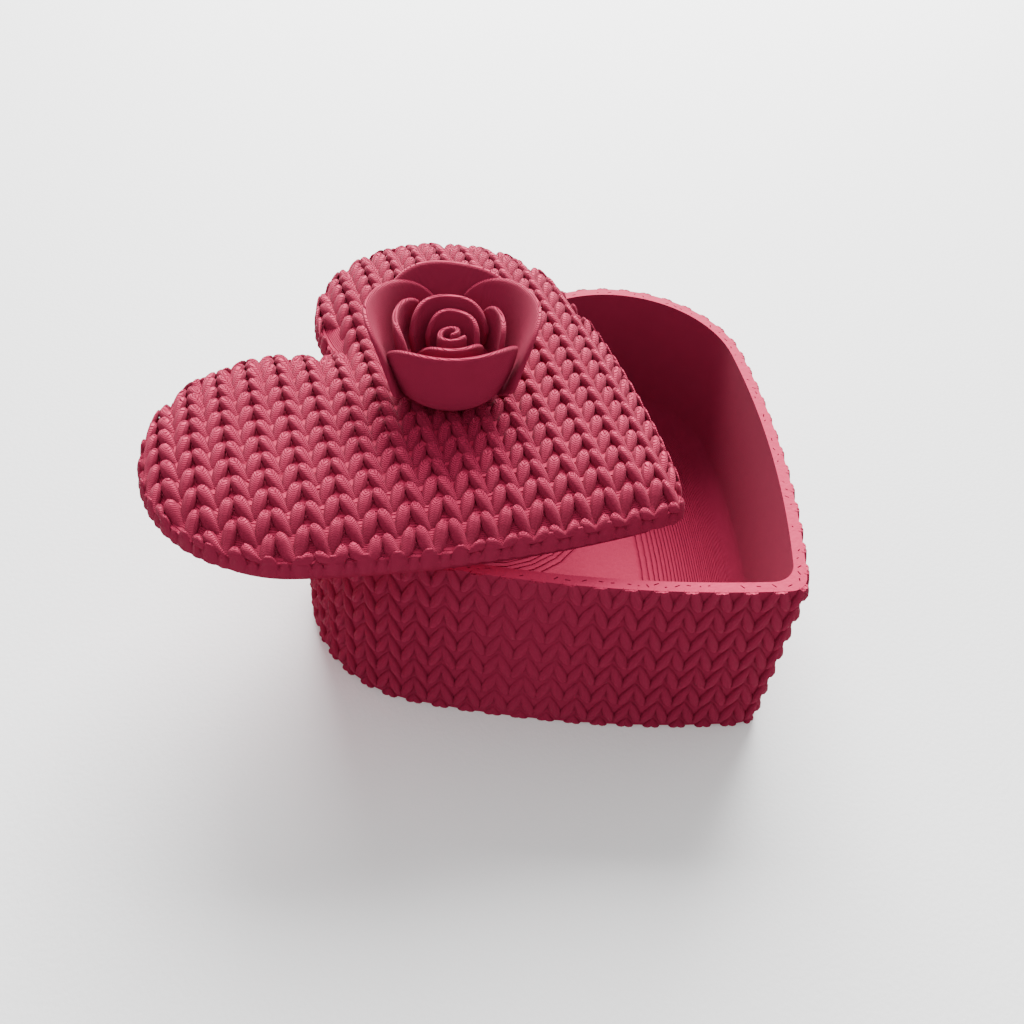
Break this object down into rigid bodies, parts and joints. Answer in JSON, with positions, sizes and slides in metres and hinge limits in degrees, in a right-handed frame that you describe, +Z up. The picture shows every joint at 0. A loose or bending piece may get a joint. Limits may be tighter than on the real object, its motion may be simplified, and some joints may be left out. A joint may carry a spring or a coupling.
{
  "type": "heart-shaped trinket box",
  "caption": "Heart-shaped printed box with a knit-textured wall, a loose cushion-topped lid lying ajar and a rose on the lid.",
  "frame": {"origin": "underside of the box, at the middle of the box's own footprint, with the box standing on a surface", "axes": "+Z up; the heart's tip points along -Y and its two lobes along +Y; +X is to the right seen from the tip"},
  "size_m": [0.1412, 0.1302, 0.0758],
  "materials": {
    "box_plastic": "matt raspberry-red printed plastic with fine layer lines and a knit relief outside",
    "lid_plastic": "matt raspberry-red printed plastic with contour-like layer lines over a knit relief",
    "rose_plastic": "matt raspberry-red printed plastic, smooth petals with fine layer lines"
  },
  "bodies": {
    "box": {"box_body": "box_plastic"},
    "lid": {"lid": "lid_plastic", "rose": "rose_plastic"}
  },
  "joints": [
    {"name": "lid_lift", "type": "slide", "parent": "box", "child": "lid", "axis": [0, 0, 1], "range_m": [0, 0.06]}
  ]
}
